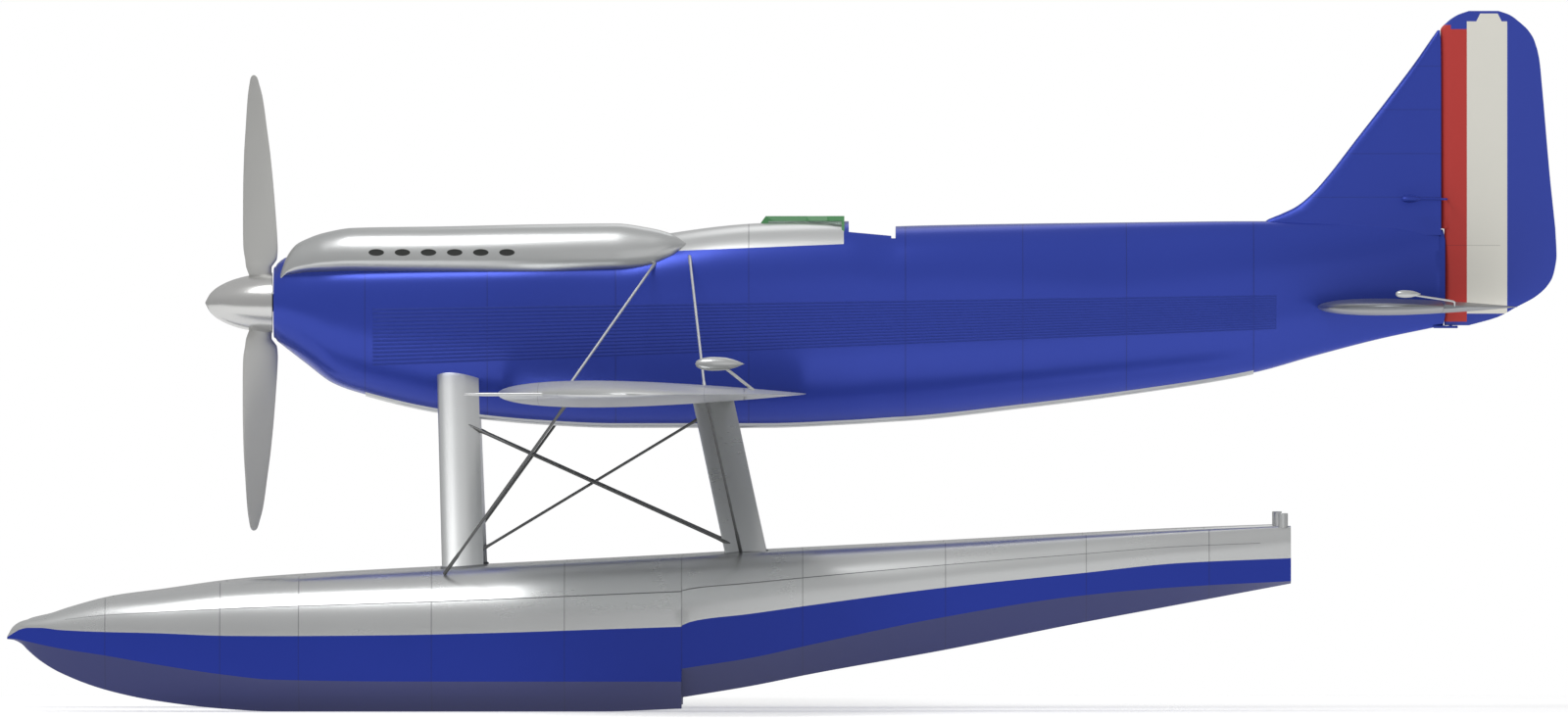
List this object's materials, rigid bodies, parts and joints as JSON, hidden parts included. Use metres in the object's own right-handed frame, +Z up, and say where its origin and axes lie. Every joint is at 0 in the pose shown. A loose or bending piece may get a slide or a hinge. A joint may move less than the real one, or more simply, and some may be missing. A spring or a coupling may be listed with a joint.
{
  "type": "single-seat racing floatplane",
  "caption": "Low-wing racing seaplane on twin stepped floats, with a pointed blue fuselage, wire bracing, striped rudder and coarse-pitch propeller.",
  "frame": {"origin": "on the floor, under the middle of the overall length and span, with both float keels on z = 0", "axes": "+X aft, nose towards -X; +Y to the right wing, left wing towards -Y; +Z up"},
  "size_m": [8.79, 9.14, 3.976],
  "materials": {
    "blue_paint": "gloss dark blue paint on light alloy",
    "silver_skin": "bare light alloy",
    "rudder_paint": "red, cream and blue vertical stripes, semi-gloss",
    "screen_green": "green paint",
    "glass": "clear flat panes",
    "cast_metal": "plain castings",
    "polished_metal": "polished forged alloy",
    "wire_steel": "streamlined steel wire",
    "cockpit_metal": "grey-green paint",
    "leather": "brown leather"
  },
  "bodies": {
    "airframe": {"engine_cowl": "blue_paint", "centre_fuselage": "blue_paint", "rear_fuselage": "blue_paint", "tail_cone": "blue_paint", "fin": "blue_paint", "front_deck": "silver_skin", "belly_cooler": "silver_skin", "air_intake": "silver_skin", "pitot_head": "silver_skin", "cylinder_fairing_left": "silver_skin", "cylinder_fairing_right": "silver_skin", "wing_left": "silver_skin", "wing_right": "silver_skin", "tailplane_left": "silver_skin", "tailplane_right": "silver_skin", "float_left": "silver_skin", "float_right": "silver_skin", "mooring_post_left": "silver_skin", "mooring_post_right": "silver_skin", "front_strut_left": "silver_skin", "front_strut_right": "silver_skin", "rear_strut_left": "silver_skin", "rear_strut_right": "silver_skin", "windscreen_frame": "screen_green", "windscreen_glass": "glass", "engine_block": "cast_metal", "front_upper_wire_left": "wire_steel", "front_upper_wire_right": "wire_steel", "front_lower_wire_left": "wire_steel", "front_lower_wire_right": "wire_steel", "rear_upper_wire_left": "wire_steel", "rear_upper_wire_right": "wire_steel", "rear_lower_wire_left": "wire_steel", "rear_lower_wire_right": "wire_steel", "strut_wire_down_aft_left": "wire_steel", "strut_wire_down_aft_right": "wire_steel", "strut_wire_up_aft_left": "wire_steel", "strut_wire_up_aft_right": "wire_steel", "firewall": "cockpit_metal", "cabin_bulkhead": "cockpit_metal", "cockpit_floor": "cockpit_metal", "instrument_panel": "cockpit_metal", "control_column": "cockpit_metal", "pilot_seat": "leather"},
    "propeller": {"propeller": "polished_metal", "spinner": "polished_metal"},
    "rudder": {"rudder": "rudder_paint", "rudder_balance_left": "blue_paint", "rudder_balance_right": "blue_paint"},
    "elevators": {"elevator_left": "silver_skin", "elevator_right": "silver_skin", "elevator_balance_left": "silver_skin", "elevator_balance_right": "silver_skin"},
    "aileron_left": {"aileron_left": "silver_skin", "aileron_balance_left": "silver_skin"},
    "aileron_right": {"aileron_right": "silver_skin", "aileron_balance_right": "silver_skin"}
  },
  "joints": [
    {"name": "propeller_spin", "type": "hinge", "parent": "airframe", "child": "propeller", "pos_m": [-2.977, 0, 2.314], "axis": [1, 0, 0], "continuous": true},
    {"name": "rudder_hinge", "type": "hinge", "parent": "airframe", "child": "rudder", "pos_m": [3.792, 0, 2.3], "axis": [0, 0, 1], "range_deg": [-20, 20]},
    {"name": "elevator_hinge", "type": "hinge", "parent": "airframe", "child": "elevators", "pos_m": [3.74, 0, 2.29], "axis": [0, 1, 0], "range_deg": [-20, 20]},
    {"name": "aileron_left_hinge", "type": "hinge", "parent": "airframe", "child": "aileron_left", "pos_m": [-0.212, -2.975, 1.797], "axis": [0, 1, 0], "range_deg": [-15, 15]},
    {"name": "aileron_right_hinge", "type": "hinge", "parent": "airframe", "child": "aileron_right", "pos_m": [-0.212, 2.975, 1.797], "axis": [0, 1, 0], "range_deg": [-15, 15]}
  ],
  "couplings": [
    {"joint": "aileron_right_hinge", "follows": "aileron_left_hinge", "ratio": -1}
  ]
}
